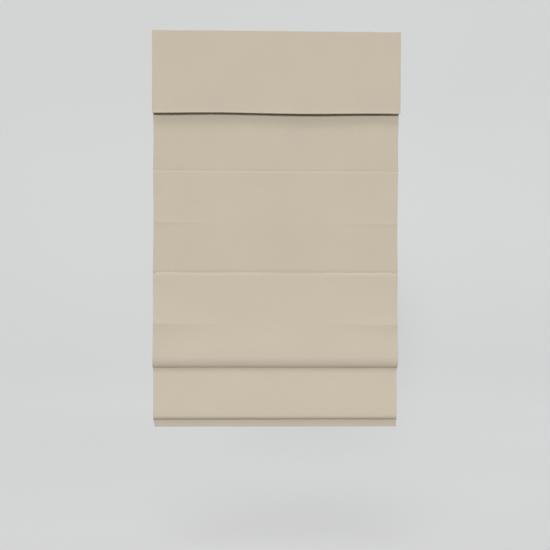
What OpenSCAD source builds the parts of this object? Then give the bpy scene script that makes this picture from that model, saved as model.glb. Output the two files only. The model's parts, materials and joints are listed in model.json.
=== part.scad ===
// Cordless roman blind: a spring motor in the headrail lifts a cloth panel by two cords, behind a valance.
// Frame: X to the right, Y to the back, Z up, with Z = 0 at the window head above the brackets.

/* [Width and drop] */
// Width of the headrail and the valance
blind_w = 902; // [760:1:1500]
// Gap from the edge of the valance to the edge of the panel, each side
panel_inset = 3; // [1:0.5:8]
// Height of the valance
valance_h = 297; // [260:1:400]
// Gap between the window head and the top of the valance
valance_gap = 2; // [1:0.5:5]
// Drop from the window head to the top rod
top_drop = 506; // [360:1:620]
// Drop from the top rod to the one below it
fold_pitch = 373; // [300:1:420]
// Drop from there to the second rod from the bottom, which is raised a little
gathered_pitch = 336; // [280:1:350]
// Height of the raised fold, from its rod to its rounded bottom
tier_h = 199; // [160:1:204]
// Drop from the lowest rod to the bottom of the hem
skirt_h = 218; // [204:1:240]
// Distance between two raised rods that lie on each other
stack_pitch = 9; // [8.6:0.2:14]

/* [Cloth] */
// Thickness of the cloth
cloth_t = 1.2; // [0.8:0.1:1.6]
// How far a hanging section bulges forward between two rods
panel_bulge = 3; // [1:0.5:6]
// How far the soft crease in the gathered section stands forward
ridge_out = 13; // [8:0.5:16]
// How far the belly above the raised fold stands forward
belly_out = 28; // [22:0.5:28.5]
// How far the belly hangs below its rod
belly_drop = 9; // [7:0.5:12]
// How far the raised fold stands forward
tier_out = 24; // [20:0.5:26]
// Height over which the bottom of the raised fold rounds
fold_round_h = 15; // [10:1:24]
// Height of the turned hem of the valance
valance_hem = 25; // [15:1:40]

/* [Headrail] */
// Depth of the headrail, front to back
rail_d = 50; // [48:0.5:60]
// Height of the headrail
rail_h = 36; // [35:0.5:44]
// Wall of the headrail
rail_wall = 1.5; // [1.2:0.1:2]
// Width of each lip that turns in at the top
lip_w = 11; // [9:0.5:14]
// Thickness of an end cap's plate
cap_t = 2; // [1.5:0.5:4]
// Length of an end cap's tongue inside the headrail
cap_tongue = 12; // [8:1:20]
// Diameter of the spline in the top loop of the cloth
spline_d = 4; // [3:0.5:5]

/* [Brackets] */
// Distance of each bracket's rivet from the end of the headrail
bracket_inset = 93; // [79:1:101]
// Length of a bracket's plate
bracket_l = 64; // [62:1:80]
// Depth of a bracket's plate
bracket_d = 40; // [34:1:46]
// Thickness of a bracket's plate
bracket_t = 1.5; // [1:0.1:2.5]
// Diameter of a screw hole
screw_d = 4.5; // [3.5:0.5:6]
// Distance of each screw hole from the rivet
screw_x = 24; // [22:0.5:26]
// Diameter of the rivet that the lever turns on
rivet_d = 6; // [5:0.5:7]
// Reach of the lever from the rivet
lever_r = 16; // [14:0.5:18]
// Thickness of the lever
lever_t = 1.5; // [1:0.1:2]
// Width of the cam that turns under the lips
cam_w = 12; // [10.5:0.5:16]
// Thickness of the cam
cam_t = 2; // [1.5:0.1:3]

/* [Lift] */
// Distance of each lift cord from the end of the headrail
cord_inset = 151; // [146:1:211]
// Diameter of a lift cord
cord_d = 1.2; // [0.9:0.1:1.5]
// Radius of a spool under its cord
spool_r = 8.4; // [7.4:0.1:8.6]
// Length of a spool between its flanges
spool_l = 32; // [28:1:36]
// Width across the flats of the lift shaft
shaft_af = 6; // [5:0.5:7]
// Wall of a spool cradle
cradle_wall = 2; // [1.6:0.1:2.4]
// Width of the cord that is still wound on a spool
wound_w = 6; // [3:0.5:12]

/* [Spring motor] */
// Width of the spring ribbon
ribbon_w = 26; // [20:1:40]
// Wall of the motor's housing
motor_wall = 1.5; // [1.2:0.1:1.8]
// Thickness of the housing's end wall and of its cover
motor_end = 3; // [2.5:0.5:5]
// Number of teeth on each drum's gear
gear_teeth = 20; // [16:2:24]
// Width of the gears
gear_w = 6; // [4:0.5:8]
// Radius of a drum under its ribbon
drum_r = 5.6; // [5.4:0.1:6]

/* [Rods, rings and bottom rail] */
// Diameter of a rod
rod_d = 4.2; // [3:0.1:4.4]
// How far a rod ends inside the edge of the panel
rod_inset = 10; // [6:1:30]
// Diameter of a cord ring's opening
ring_id = 7.6; // [6:0.2:8]
// Diameter of a cord ring's wire
ring_wire = 2.4; // [1.6:0.1:2.6]
// Height of the bottom rail
bar_h = 20; // [14:0.5:24]
// Thickness of the bottom rail
bar_t = 3; // [2:0.1:4]
// Length of a bottom rail's end cap
bar_cap_l = 10; // [8:1:16]

/* [Clearances] */
// Radial clearance of a turning fit
run_gap = 0.05; // [0.02:0.01:0.1]
// Gap between pieces that are pushed together
seat_gap = 0.2; // [0.1:0.05:0.3]
// Gap between a soft piece and its neighbour, or between turning faces
soft_gap = 0.3; // [0.2:0.05:0.4]

/* [Hidden] */
$fn = 48;
// How far a cutting shape passes the face that it cuts
over = 1;
SIDES = [-1, 1];
LEFT = -1;
RIGHT = 1;

// Colours
CLOTH = [0.78, 0.73, 0.66];
METAL = [0.93, 0.93, 0.92];
STEEL = [0.72, 0.73, 0.75];
PLASTIC = [0.95, 0.95, 0.93];
CLEAR = [0.85, 0.87, 0.86];
GLASS_FIBRE = [0.9, 0.88, 0.8];

// Heights of the bracket, its lever and the headrail under it
lever_top = -bracket_t - seat_gap;
rail_top = lever_top - lever_t - soft_gap;
rail_bottom = rail_top - rail_h;
rail_floor = rail_bottom + rail_wall;
lip_under = rail_top - rail_wall;
cam_top = lip_under - seat_gap;
cam_bottom = cam_top - cam_t;
bracket_x = blind_w / 2 - bracket_inset;
rivet_head_t = 1.5;
rivet_rim = 2;
rivet_head_r = rivet_d / 2 + rivet_rim;
bracket_corner = 4;

// Inside of the headrail
rail_l = blind_w - 2 * cap_t;
rail_in = rail_d - 2 * rail_wall;
rail_in_h = lip_under - rail_floor;
cam_end_gap = 2;
cam_half = rail_in / 2 - cam_end_gap;

// Spring motor: two drums side by side fill the headrail's depth
motor_headroom = 3;
motor_d = rail_in - 2 * soft_gap;
motor_h = rail_in_h - motor_headroom;
motor_in = motor_d - 2 * motor_wall;
tip_out = 0.8;
root_in = 1.2;
tooth_root = 0.37;
tooth_tip = 0.1;
gear_r = motor_in / 4 - (tip_out + soft_gap) / 2;
drum_y = gear_r;
shaft_y = drum_y;
shaft_z = rail_floor + motor_h / 2;
flange_t = 1.5;
drum_l = gear_w + ribbon_w + 2 * soft_gap + flange_t;
journal_r = 4.6;
flange_r = gear_r - 2 * soft_gap;
motor_l = drum_l + 2 * soft_gap + motor_end;
motor_x = -(motor_l + motor_end) / 2;
cover_lip = 3;
cover_lip_t = 1;
drive_wound = 2.8;
storage_wound = 0.9;
drive_wound_r = drum_r + drive_wound;
storage_wound_r = drum_r + storage_wound;
ribbon_t = 0.4;

// Spools, cords and rings, one behind the other
cord_x = blind_w / 2 - cord_inset;
spool_rim = 2.2;
spool_flange_r = spool_r + spool_rim;
spool_flange_t = 1.2;
spool_journal_r = 5;
spool_in = spool_l + 2 * spool_flange_t + 2 * soft_gap;
cradle_l = spool_in + 2 * cradle_wall;
cradle_side = 0.8;
cradle_d = 2 * (spool_flange_r + 2 * soft_gap + cradle_side);
cradle_floor = 1.5;
cradle_rim = 1.5;
cradle_h = shaft_z + spool_journal_r + cradle_rim - rail_floor;
snap_in = 0.6;
journal_out = 1.5;
shaft_out = 4;
nozzle_r = 2.8;
nozzle_drop = 2;
cord_r = cord_d / 2;
cord_y = shaft_y + spool_r + run_gap + cord_r;
ring_r = ring_id / 2 + ring_wire / 2;
sewn_gap = 0.1;
pocket_wall = cloth_t;
pocket_r = rod_d / 2 + soft_gap + pocket_wall;
pocket_y = cord_y - ring_r - ring_wire / 2 - sewn_gap - pocket_r;
panel_y = pocket_y - pocket_r + cloth_t / 2;

// Heights of the rods, the hem and the raised fold
rod_z4 = -top_drop;
rod_z3 = rod_z4 - fold_pitch;
rod_z2 = rod_z3 - gathered_pitch;
rod_z1 = rod_z2 - stack_pitch;
hem_z = rod_z1 - skirt_h;
tier_z = rod_z2 - tier_h;
panel_w = blind_w - 2 * panel_inset;
rod_l = panel_w - 2 * rod_inset;

// Groove under the headrail that keys the top loop of the cloth
bead_r = spline_d / 2 + soft_gap + cloth_t;
groove_in = bead_r + soft_gap;
groove_wall = 1.4;
groove_z = rail_bottom - 2 * groove_in;
throat = cloth_t / 2 + 2 * soft_gap;
bead_z = rail_bottom - groove_in;

// Valance and its tapes on the front of the headrail
tape_t = 1.2;
tape_h = 20;
tape_down = 3;
tape_z = rail_top - tape_down - tape_h;
valance_back = -rail_d / 2 - 2 * tape_t;
valance_z = -valance_gap - valance_h;

// Bottom rail in the hem
bar_cap_wall = 0.8;
bar_cap_t = bar_t + 2 * seat_gap + 2 * bar_cap_wall;
bar_cap_h = bar_h + 2 * seat_gap + 2 * bar_cap_wall;
hem_in_t = bar_cap_t + 2 * soft_gap;
hem_in_h = bar_cap_h + 2 * soft_gap;
skirt_back = 1;
skirt_y = panel_y + skirt_back;
bar_z = hem_z + cloth_t + hem_in_h / 2;
bar_l = panel_w - 2 * rod_inset;

// Cord adjusters
adjuster_rim = 0.9;
adjuster_r = ring_id / 2 + adjuster_rim;
adjuster_h = 14;
adjuster_band = 2;
adjuster_waist = 1.4;
knot_wall = 1.1;
knot_r = cord_r + knot_wall;

// Points along a smooth curve from a to b that leaves along ta and arrives along tb
function smooth(a, ta, b, tb, n = 12) = [
    for (i = [0:n])
        let (t = i / n, u = 1 - t)
        u * u * (1 + 2 * t) * a + t * u * u * ta + t * t * (3 - 2 * t) * b - t * t * u * tb
];

// Points of a shallow forward arch from a to b
function arch(a, b, out, n = 12) = [
    for (i = [0:n]) a + (b - a) * i / n - [out * sin(180 * i / n), 0]
];

// Points of an arc about c
function arc(c, r, from, to, n = 12) = [
    for (i = [0:n])
        let (w = from + (to - from) * i / n)
        c + r * [cos(w), sin(w)]
];

function tail(path) = [for (i = [1:len(path) - 1]) path[i]];

// Unit normal of a path at its point i
function across(path, i) =
    let (d = path[min(i + 1, len(path) - 1)] - path[max(i - 1, 0)])
    [-d[1], d[0]] / norm(d);

// Outline of a strip of thickness t whose middle follows the path
function strip(path, t) = concat(
    [for (i = [0:len(path) - 1]) path[i] + across(path, i) * t / 2],
    [for (i = [len(path) - 1:-1:0]) path[i] - across(path, i) * t / 2]
);

// Middle of the cloth from the headrail to the second rod, as [depth, height]
ridge = [panel_y - ridge_out, rod_z3 - fold_pitch / 2];
belly_turn_h = 24;
belly_in = 13;
belly = [panel_y - belly_out, rod_z2 + belly_turn_h];
belly_low = [panel_y - belly_in, rod_z2 - belly_drop + cloth_t / 2];
panel_end_w = 165;
panel_end_r = pocket_r + soft_gap + cloth_t / 2;
panel_end = [pocket_y, rod_z2] + panel_end_r * [cos(panel_end_w), sin(panel_end_w)];

// Directions of the cloth at these points; a longer one gives a flatter run
rod_run = [-8, -120];
ridge_in = [-14, -110];
ridge_run = [-6, -110];
belly_run = [0, -70];
belly_under = [0, -34];
low_in = [24, -3];
low_out = [12, 1];
panel_end_run = 10 * [sin(panel_end_w), -cos(panel_end_w)];
PANEL_PATH = concat(
    arch([panel_y, bead_z], [panel_y, rod_z4], panel_bulge),
    tail(arch([panel_y, rod_z4], [panel_y, rod_z3], panel_bulge)),
    tail(smooth([panel_y, rod_z3], rod_run, ridge, ridge_in)),
    tail(smooth(ridge, ridge_run, belly, belly_run)),
    tail(smooth(belly, belly_under, belly_low, low_in)),
    tail(smooth(belly_low, low_out, panel_end, panel_end_run))
);

// Middle of the cloth from the second rod round the raised fold and over the lowest rod to the hem
tier_neck_h = 20;
tier_neck_in = 4.5;
tier_back_in = 3.5;
fold_start = [pocket_y - pocket_r + pocket_wall, rod_z2 - cloth_t];
tier_top = [panel_y - tier_neck_in, rod_z2 - tier_neck_h];
tier_low = [panel_y - tier_out, tier_z + cloth_t / 2 + fold_round_h];
fold_back = [panel_y - tier_back_in, tier_low[1]];
fold_half = (fold_back[0] - tier_low[0]) / 2;
fold_bottom = [tier_low[0] + fold_half, tier_z + cloth_t / 2];
turn_r = 1;
turn_c = [skirt_y - turn_r, rod_z1 - soft_gap];

// Directions of the cloth at these points
start_run = [-9, -9];
neck_in = [-2.2, -18];
neck_out = [-10, -110];
low_run = [0, -90];
round_run = 1.66;
bottom_run = [round_run * fold_half, 0];
back_run = [0, 90];
FOLD_PATH = concat(
    smooth(fold_start, start_run, tier_top, neck_in),
    tail(smooth(tier_top, neck_out, tier_low, low_run)),
    tail(smooth(tier_low, [0, -round_run * fold_round_h], fold_bottom, bottom_run)),
    tail(smooth(fold_bottom, bottom_run, fold_back, [0, round_run * fold_round_h])),
    tail(smooth(fold_back, back_run, turn_c - [turn_r, 0], back_run)),
    tail(arc(turn_c, turn_r, 180, 0, 8)),
    [[skirt_y, hem_z + hem_in_h]]
);

// Runs a profile drawn as [depth, height] along X, about the middle
module along_x(l) {
    rotate([90, 0, 90])
        linear_extrude(height = l, center = true)
            children();
}

// A round bar along X
module bar_x(r, l) {
    rotate([0, 90, 0])
        cylinder(r = r, h = l, center = true);
}

// A round bar along X from x, about the line at depth y and height z
module bar_from(x, y, z, r, l) {
    translate([x + l / 2, y, z])
        bar_x(r, l);
}

// A hexagon bar along X
module hex_x(af, l) {
    rotate([0, 90, 0])
        cylinder(r = af / sqrt(3), h = l, center = true, $fn = 6);
}

// A flat plate with round corners, from z down
module plate(l, d, r, z, t) {
    translate([0, 0, z - t])
        linear_extrude(height = t) {
            square([l - 2 * r, d], center = true);
            square([l, d - 2 * r], center = true);
            for (i = SIDES, j = SIDES)
                translate([i * (l / 2 - r), j * (d / 2 - r)])
                    circle(r = r);
        }
}

module rect(y0, z0, y1, z1) {
    translate([y0, z0])
        square([y1 - y0, z1 - z0]);
}

// Closed outline of the headrail with its groove
module rail_outline() {
    rect(-rail_d / 2, rail_bottom, rail_d / 2, rail_top);
    rect(panel_y - groove_in - groove_wall, groove_z - groove_wall,
        panel_y + groove_in + groove_wall, rail_bottom + rail_wall / 2);
}

module headrail() {
    color(METAL)
        difference() {
            along_x(rail_l)
                difference() {
                    rail_outline();
                    rect(-rail_in / 2, rail_floor, rail_in / 2, lip_under);
                    rect(-rail_d / 2 + lip_w, lip_under - over, rail_d / 2 - lip_w, rail_top + over);
                    rect(panel_y - groove_in, groove_z, panel_y + groove_in, rail_bottom);
                    rect(panel_y - throat, groove_z - groove_wall - over,
                        panel_y + throat, groove_z + over);
                }
            for (side = SIDES)
                translate([side * cord_x, cord_y, rail_bottom - over])
                    cylinder(r = nozzle_r + seat_gap, h = rail_wall + 2 * over);
        }
}

module end_cap(side) {
    tongue_wall = 1.5;
    tongue_d = rail_in - 2 * seat_gap;
    tongue_h = rail_in_h - 2 * seat_gap;
    tongue_z = rail_floor + seat_gap;
    color(PLASTIC) {
        translate([side * (rail_l + cap_t) / 2, 0, 0])
            along_x(cap_t)
                rail_outline();
        translate([side * (rail_l - cap_tongue) / 2, 0, 0])
            along_x(cap_tongue)
                difference() {
                    rect(-tongue_d / 2, tongue_z, tongue_d / 2, tongue_z + tongue_h);
                    rect(-tongue_d / 2 + tongue_wall, tongue_z + tongue_wall,
                        tongue_d / 2 - tongue_wall, tongue_z + tongue_h - tongue_wall);
                }
    }
}

module bracket(side) {
    color(STEEL)
        translate([side * bracket_x, 0, 0]) {
            difference() {
                plate(bracket_l, bracket_d, bracket_corner, 0, bracket_t);
                for (i = SIDES)
                    translate([i * screw_x, 0, -bracket_t - over])
                        cylinder(d = screw_d, h = bracket_t + 2 * over);
            }
            translate([0, 0, cam_bottom - seat_gap])
                cylinder(d = rivet_d, h = -bracket_t - cam_bottom + seat_gap);
            translate([0, 0, cam_bottom - seat_gap - rivet_head_t])
                cylinder(r = rivet_head_r, h = rivet_head_t);
        }
}

// The lever lies along the headrail when the cam is turned across under both lips
module bracket_lever(side) {
    hub_r = rivet_d / 2 + rivet_rim;
    corner_flat = 1;
    lever_corner = hub_r - corner_flat;
    cam_corner = (cam_w - corner_flat) / 2;
    color(STEEL)
        translate([side * bracket_x, 0, 0])
            difference() {
                union() {
                    translate([0, 0, cam_bottom])
                        cylinder(r = hub_r, h = lever_top - cam_bottom);
                    translate([-side * lever_r / 2, 0, 0])
                        plate(lever_r, 2 * hub_r, lever_corner, lever_top, lever_t);
                    plate(cam_w, 2 * cam_half, cam_corner, cam_top, cam_t);
                }
                translate([0, 0, cam_bottom - over])
                    cylinder(r = rivet_d / 2 + run_gap, h = lever_top - cam_bottom + 2 * over);
            }
}

// Each cradle is open on top, with snap-in bearings for its spool and a nozzle for the cord
module spool_cradle(side) {
    bore_r = spool_journal_r + run_gap;
    snap_half = spool_journal_r - snap_in;
    nozzle_z = rail_bottom - nozzle_drop;
    nozzle_h = rail_wall + nozzle_drop + cradle_floor;
    color(PLASTIC)
        translate([side * cord_x, shaft_y, 0])
            difference() {
                union() {
                    translate([-cradle_l / 2, -cradle_d / 2, rail_floor])
                        cube([cradle_l, cradle_d, cradle_h]);
                    translate([0, cord_y - shaft_y, nozzle_z])
                        cylinder(r = nozzle_r, h = nozzle_h);
                }
                translate([-spool_in / 2, -cradle_d / 2 + cradle_side, rail_floor + cradle_floor])
                    cube([spool_in, cradle_d - 2 * cradle_side, cradle_h]);
                translate([0, 0, shaft_z])
                    bar_x(bore_r, cradle_l + 2 * over);
                translate([-cradle_l / 2 - over, -snap_half, shaft_z])
                    cube([cradle_l + 2 * over, 2 * snap_half, cradle_h]);
                translate([0, cord_y - shaft_y, nozzle_z - over])
                    cylinder(r = cord_r + soft_gap, h = nozzle_h + 2 * over);
            }
}

module cord_spool(side) {
    journal_l = cradle_wall + journal_out;
    reel_l = spool_l + 2 * spool_flange_t;
    color(CLEAR)
        translate([side * cord_x, shaft_y, shaft_z])
            difference() {
                union() {
                    bar_x(spool_r, reel_l);
                    bar_x(spool_journal_r, reel_l + 2 * (soft_gap + journal_l));
                    for (i = SIDES)
                        translate([i * (spool_l + spool_flange_t) / 2, 0, 0])
                            bar_x(spool_flange_r, spool_flange_t);
                }
                hex_x(shaft_af + 2 * run_gap, 2 * cradle_l);
            }
}

module lift_shaft() {
    shaft_l = 2 * (cord_x + shaft_out) + cradle_l;
    color(STEEL)
        translate([0, shaft_y, shaft_z])
            hex_x(shaft_af, shaft_l);
}

// Two bearings through one of the motor's ends
module drum_bearings(x, l) {
    for (i = SIDES)
        bar_from(x, i * drum_y, shaft_z, journal_r + run_gap, l);
}

module motor_housing() {
    color(PLASTIC)
        difference() {
            translate([motor_x, -motor_d / 2, rail_floor])
                cube([motor_l, motor_d, motor_h]);
            translate([motor_x + motor_end, -motor_in / 2, rail_floor + motor_wall])
                cube([motor_l, motor_in, motor_h - 2 * motor_wall]);
            drum_bearings(motor_x - over, motor_end + 2 * over);
        }
}

module motor_cover() {
    lip_d = motor_in - 2 * seat_gap;
    lip_h = motor_h - 2 * motor_wall - 2 * seat_gap;
    lip_z = rail_floor + motor_wall + seat_gap;
    cover_x = motor_x + motor_l;
    color(PLASTIC)
        difference() {
            union() {
                translate([cover_x, -motor_d / 2, rail_floor])
                    cube([motor_end, motor_d, motor_h]);
                translate([cover_x - cover_lip, -lip_d / 2, lip_z])
                    cube([cover_lip + over, lip_d, lip_h]);
            }
            translate([cover_x - cover_lip - over, -lip_d / 2 + cover_lip_t, lip_z + cover_lip_t])
                cube([cover_lip + over, lip_d - 2 * cover_lip_t, lip_h - 2 * cover_lip_t]);
            drum_bearings(cover_x - over, motor_end + 2 * over);
        }
}

// Outline of a gear with straight-sided teeth and running backlash
module gear_outline(turn) {
    root_r = gear_r - root_in;
    tip_r = gear_r + tip_out;
    step = 360 / gear_teeth;
    tooth = [[root_r, -tooth_root], [tip_r, -tooth_tip], [tip_r, tooth_tip], [root_r, tooth_root]];
    polygon([
        for (i = [0:gear_teeth - 1], corner = tooth)
            let (w = turn + (i + corner[1]) * step)
            corner[0] * [cos(w), sin(w)]
    ]);
}

// A drum with its gear at the left end and a flange at the right one
module drum(y, turn) {
    x = motor_x + motor_end + soft_gap;
    translate([x + gear_w / 2, y, shaft_z])
        along_x(gear_w)
            gear_outline(turn);
    bar_from(x, y, shaft_z, drum_r, drum_l);
    bar_from(x + drum_l - flange_t, y, shaft_z, flange_r, flange_t);
    bar_from(motor_x, y, shaft_z, journal_r, motor_l + motor_end);
}

module drive_drum() {
    color(CLEAR)
        difference() {
            drum(drum_y, 0);
            translate([0, shaft_y, shaft_z])
                hex_x(shaft_af + 2 * run_gap, 2 * motor_l);
        }
}

module storage_drum() {
    color(CLEAR)
        drum(-drum_y, 180 / gear_teeth);
}

// The wound ribbon on both drums, and the run that crosses from one to the other
module spring_ribbon() {
    x = motor_x + motor_end + soft_gap + gear_w + soft_gap;
    drive_mid = drive_wound_r - ribbon_t / 2;
    storage_mid = storage_wound_r - ribbon_t / 2;
    cross_w = asin((drive_mid + storage_mid) / (2 * drum_y));
    cross_l = 2 * drum_y * cos(cross_w);
    color(STEEL)
        difference() {
            union() {
                bar_from(x, drum_y, shaft_z, drive_wound_r, ribbon_w);
                bar_from(x, -drum_y, shaft_z, storage_wound_r, ribbon_w);
                translate([x, drum_y, shaft_z])
                    rotate([cross_w, 0, 0])
                        translate([0, -cross_l, drive_mid - ribbon_t / 2])
                            cube([ribbon_w, cross_l, ribbon_t]);
            }
            for (i = SIDES)
                bar_from(x - over, i * drum_y, shaft_z, drum_r + run_gap, ribbon_w + 2 * over);
        }
}

// Each cord leaves the back of its spool, drops through the rings and ends in a knot under its adjuster
module lift_cord(side) {
    end_z = rod_z1 - ring_wire / 2 - seat_gap - adjuster_h;
    wound_r = spool_r + run_gap;
    color(PLASTIC) {
        translate([side * cord_x, cord_y, end_z - knot_r])
            cylinder(r = cord_r, h = shaft_z - end_z + knot_r);
        translate([side * cord_x, cord_y, end_z - seat_gap - 2 * knot_r])
            cylinder(r = knot_r, h = 2 * knot_r);
        translate([side * cord_x, shaft_y, shaft_z])
            difference() {
                bar_x(wound_r + cord_d, wound_w);
                bar_x(wound_r, wound_w + 2 * over);
            }
    }
}

module cord_adjuster(side) {
    bore_r = cord_r + soft_gap / 2;
    waist_r = adjuster_r - adjuster_waist;
    color(PLASTIC)
        translate([side * cord_x, cord_y, rod_z1 - ring_wire / 2 - seat_gap - adjuster_h])
            rotate_extrude()
                polygon([
                    [bore_r, 0],
                    [waist_r, 0],
                    [waist_r, adjuster_h / 2],
                    [adjuster_r, adjuster_h - adjuster_band],
                    [adjuster_r, adjuster_h],
                    [bore_r, adjuster_h]
                ]);
}

module hook_tape() {
    color(PLASTIC)
        along_x(rail_l)
            rect(-rail_d / 2 - tape_t, tape_z, -rail_d / 2, tape_z + tape_h);
}

module loop_tape() {
    color(PLASTIC)
        along_x(rail_l)
            rect(valance_back, tape_z, valance_back + tape_t, tape_z + tape_h);
}

// A flat cloth with its bottom edge turned up behind
module valance() {
    color(CLOTH)
        along_x(blind_w) {
            rect(valance_back - cloth_t, valance_z + cloth_t, valance_back, -valance_gap);
            rect(valance_back - cloth_t / 2, valance_z + cloth_t,
                valance_back + cloth_t, valance_z + valance_hem);
            translate([valance_back, valance_z + cloth_t])
                circle(r = cloth_t);
        }
}

module fabric_spline() {
    color(PLASTIC)
        translate([0, panel_y, bead_z])
            bar_x(spline_d / 2, panel_w - 2 * seat_gap);
}

// Rod pockets across the back of the cloth, at the given heights
module pockets(heights, r, l) {
    for (z = heights)
        translate([0, pocket_y, z])
            bar_x(r, l);
}

// The cloth above the raised fold, with its top loop and two rod pockets
module fabric_panel() {
    rods = [rod_z4, rod_z3];
    color(CLOTH)
        difference() {
            union() {
                along_x(panel_w)
                    polygon(strip(PANEL_PATH, cloth_t));
                translate([0, panel_y, bead_z])
                    bar_x(bead_r, panel_w);
                pockets(rods, pocket_r, panel_w);
            }
            translate([0, panel_y, bead_z])
                bar_x(bead_r - cloth_t, panel_w + 2 * over);
            pockets(rods, pocket_r - pocket_wall, panel_w + 2 * over);
        }
}

// The raised fold, its two rod pockets, the skirt behind it and the hem
module fabric_fold() {
    rods = [rod_z2, rod_z1];
    hem_t = hem_in_t + 2 * cloth_t;
    hem_top = hem_z + hem_in_h + 2 * cloth_t;
    color(CLOTH)
        difference() {
            union() {
                along_x(panel_w)
                    polygon(strip(FOLD_PATH, cloth_t));
                pockets(rods, pocket_r, panel_w);
                along_x(panel_w)
                    rect(skirt_y - hem_t / 2, hem_z, skirt_y + hem_t / 2, hem_top);
            }
            pockets(rods, pocket_r - pocket_wall, panel_w + 2 * over);
            along_x(panel_w + 2 * over)
                rect(skirt_y - hem_in_t / 2, hem_z + cloth_t, skirt_y + hem_in_t / 2, hem_top - cloth_t);
        }
}

module batten(z) {
    color(GLASS_FIBRE)
        translate([0, pocket_y, z])
            bar_x(rod_d / 2, rod_l);
}

module ring_row(z) {
    color(CLEAR)
        for (side = SIDES)
            translate([side * cord_x, cord_y, z])
                rotate_extrude()
                    translate([ring_r, 0])
                        circle(d = ring_wire);
}

module bottom_rail() {
    edge_r = bar_t / 2;
    flat_h = bar_h / 2 - edge_r;
    color(METAL)
        along_x(bar_l) {
            rect(skirt_y - edge_r, bar_z - flat_h, skirt_y + edge_r, bar_z + flat_h);
            for (i = SIDES)
                translate([skirt_y, bar_z + i * flat_h])
                    circle(r = edge_r);
        }
}

module bottom_rail_cap(side) {
    end_t = 1.2;
    color(PLASTIC)
        difference() {
            translate([side * (bar_l / 2 + seat_gap + end_t - bar_cap_l / 2), skirt_y, bar_z])
                cube([bar_cap_l, bar_cap_t, bar_cap_h], center = true);
            translate([side * (bar_l / 2 + seat_gap - bar_cap_l / 2), skirt_y, bar_z])
                cube([bar_cap_l, bar_t + 2 * seat_gap, bar_h + 2 * seat_gap], center = true);
        }
}

headrail();
end_cap(LEFT);  // end_cap_left
end_cap(RIGHT);  // end_cap_right
bracket(LEFT);  // bracket_left
bracket(RIGHT);  // bracket_right
bracket_lever(LEFT);  // bracket_lever_left
bracket_lever(RIGHT);  // bracket_lever_right
spool_cradle(LEFT);  // spool_cradle_left
spool_cradle(RIGHT);  // spool_cradle_right
cord_spool(LEFT);  // cord_spool_left
cord_spool(RIGHT);  // cord_spool_right
lift_shaft();
motor_housing();
motor_cover();
drive_drum();
storage_drum();
spring_ribbon();
lift_cord(LEFT);  // lift_cord_left
lift_cord(RIGHT);  // lift_cord_right
cord_adjuster(LEFT);  // cord_adjuster_left
cord_adjuster(RIGHT);  // cord_adjuster_right
hook_tape();
loop_tape();
valance();
fabric_spline();
fabric_panel();
fabric_fold();
batten(rod_z1);  // batten_1
batten(rod_z2);  // batten_2
batten(rod_z3);  // batten_3
batten(rod_z4);  // batten_4
ring_row(rod_z1);  // ring_row_1
ring_row(rod_z2);  // ring_row_2
ring_row(rod_z3);  // ring_row_3
ring_row(rod_z4);  // ring_row_4
bottom_rail();
bottom_rail_cap(LEFT);  // bottom_rail_cap_left
bottom_rail_cap(RIGHT);  // bottom_rail_cap_right
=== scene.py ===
"""Looks of a cordless roman blind: its cloth, pockets, cords and stitches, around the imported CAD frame.

The frame is X to the right, Y to the back and Z up, in metres. The blind's own sizes below are in
millimetres, and are turned into metres when a mesh is made. The camera and the studio are in metres.
"""
import json
import math

import bpy
import numpy as np
from mathutils import Matrix, Vector


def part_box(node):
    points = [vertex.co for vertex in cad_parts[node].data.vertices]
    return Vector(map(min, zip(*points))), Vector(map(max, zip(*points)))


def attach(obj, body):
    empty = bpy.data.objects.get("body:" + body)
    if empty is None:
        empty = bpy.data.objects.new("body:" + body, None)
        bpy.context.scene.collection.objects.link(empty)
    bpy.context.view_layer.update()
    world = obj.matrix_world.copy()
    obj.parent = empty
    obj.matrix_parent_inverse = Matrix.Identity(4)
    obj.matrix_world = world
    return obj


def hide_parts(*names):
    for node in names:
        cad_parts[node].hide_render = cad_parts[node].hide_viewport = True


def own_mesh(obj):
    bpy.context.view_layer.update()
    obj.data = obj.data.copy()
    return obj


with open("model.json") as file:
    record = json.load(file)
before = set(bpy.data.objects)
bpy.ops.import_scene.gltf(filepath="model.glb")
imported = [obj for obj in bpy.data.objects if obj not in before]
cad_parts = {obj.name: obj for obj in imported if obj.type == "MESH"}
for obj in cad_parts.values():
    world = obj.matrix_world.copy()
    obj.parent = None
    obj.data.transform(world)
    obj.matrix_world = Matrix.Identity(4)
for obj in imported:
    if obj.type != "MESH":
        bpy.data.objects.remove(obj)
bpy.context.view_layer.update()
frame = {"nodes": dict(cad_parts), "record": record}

MM = 0.001
IMAGE_PX = 550
SENSOR_MM = 36.0


# Camera, at the photograph's viewing angle

CAMERA_TARGET = Vector((-0.0024, 0.0, -0.88601))
CAMERA_DISTANCE = 5.0
CAMERA_YAW = math.radians(2.193)
CAMERA_PITCH = math.radians(1.564)
CAMERA_ROLL = math.radians(0.227)
CAMERA_FOCAL_PX = 1367.06


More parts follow.
